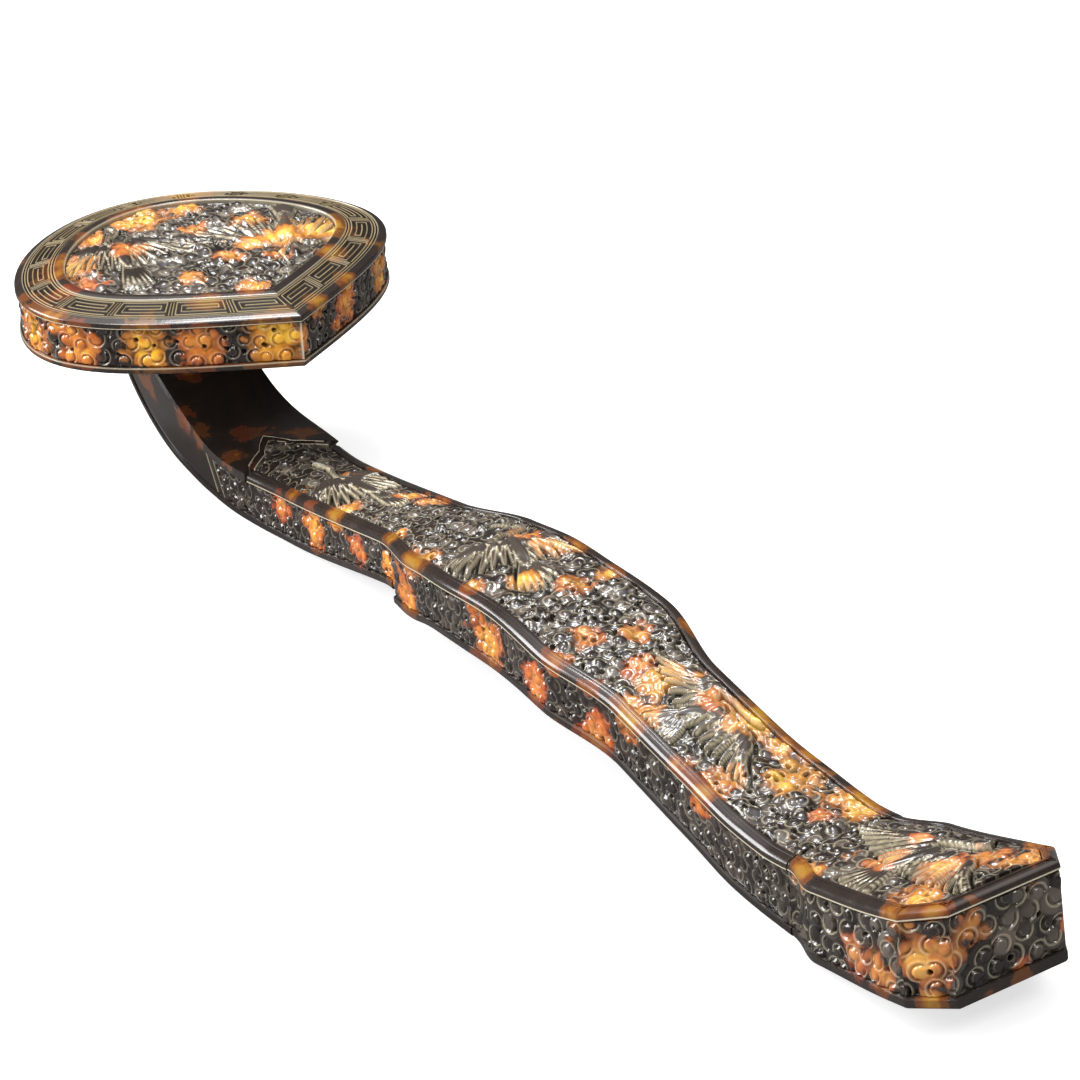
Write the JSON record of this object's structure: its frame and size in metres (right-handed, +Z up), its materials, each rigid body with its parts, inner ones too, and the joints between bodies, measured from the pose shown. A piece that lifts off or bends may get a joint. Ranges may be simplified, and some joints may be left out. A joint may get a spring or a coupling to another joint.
{
  "type": "ruyi sceptre",
  "caption": "Curved ruyi sceptre of carved tortoiseshell plates over a wooden core, with a peach-shaped head plate, a plain hooked neck and a raised terminal.",
  "frame": {"origin": "middle of the footprint, on the surface that the sceptre rests on", "axes": "+X along the shaft from the head to the terminal, +Y across it to its left, +Z up from the rest surface"},
  "size_m": [0.4074, 0.1084, 0.0723],
  "materials": {
    "carved_shell": "carved and polished tortoiseshell, dark brown mottled with amber",
    "plain_shell": "smooth polished tortoiseshell, near black with amber clouds",
    "hardwood": "planed hardwood, unseen inside the shell",
    "bamboo": "split bamboo peg"
  },
  "bodies": {
    "root": {"bracket_strip": "plain_shell", "head_back_plate": "plain_shell", "head_carved_panel": "carved_shell", "head_core": "hardwood", "head_edge_moulding": "plain_shell", "head_fret_border": "plain_shell", "head_inner_band": "plain_shell", "head_peg": "bamboo", "head_wall_back_left": "carved_shell", "head_wall_back_right": "carved_shell", "head_wall_front_left": "carved_shell", "head_wall_front_right": "carved_shell", "lower_back_plate": "plain_shell", "lower_border_left": "plain_shell", "lower_border_right": "plain_shell", "lower_carved_panel": "carved_shell", "lower_core": "hardwood", "lower_dowel": "bamboo", "lower_wall_left": "carved_shell", "lower_wall_right": "carved_shell", "neck_back_plate": "plain_shell", "neck_core": "hardwood", "neck_face_plate": "plain_shell", "neck_wall_left": "plain_shell", "neck_wall_right": "plain_shell", "side_strip_left": "plain_shell", "side_strip_right": "plain_shell", "terminal_back_plate": "plain_shell", "terminal_border": "plain_shell", "terminal_carved_panel": "carved_shell", "terminal_core": "hardwood", "terminal_corner_left": "carved_shell", "terminal_corner_right": "carved_shell", "terminal_dowel": "bamboo", "terminal_end_wall": "carved_shell", "terminal_wall_left": "carved_shell", "terminal_wall_right": "carved_shell", "upper_back_plate": "plain_shell", "upper_border_left": "plain_shell", "upper_border_right": "plain_shell", "upper_carved_panel": "carved_shell", "upper_core": "hardwood", "upper_dowel": "bamboo", "upper_wall_left": "carved_shell", "upper_wall_right": "carved_shell"}
  },
  "joints": []
}
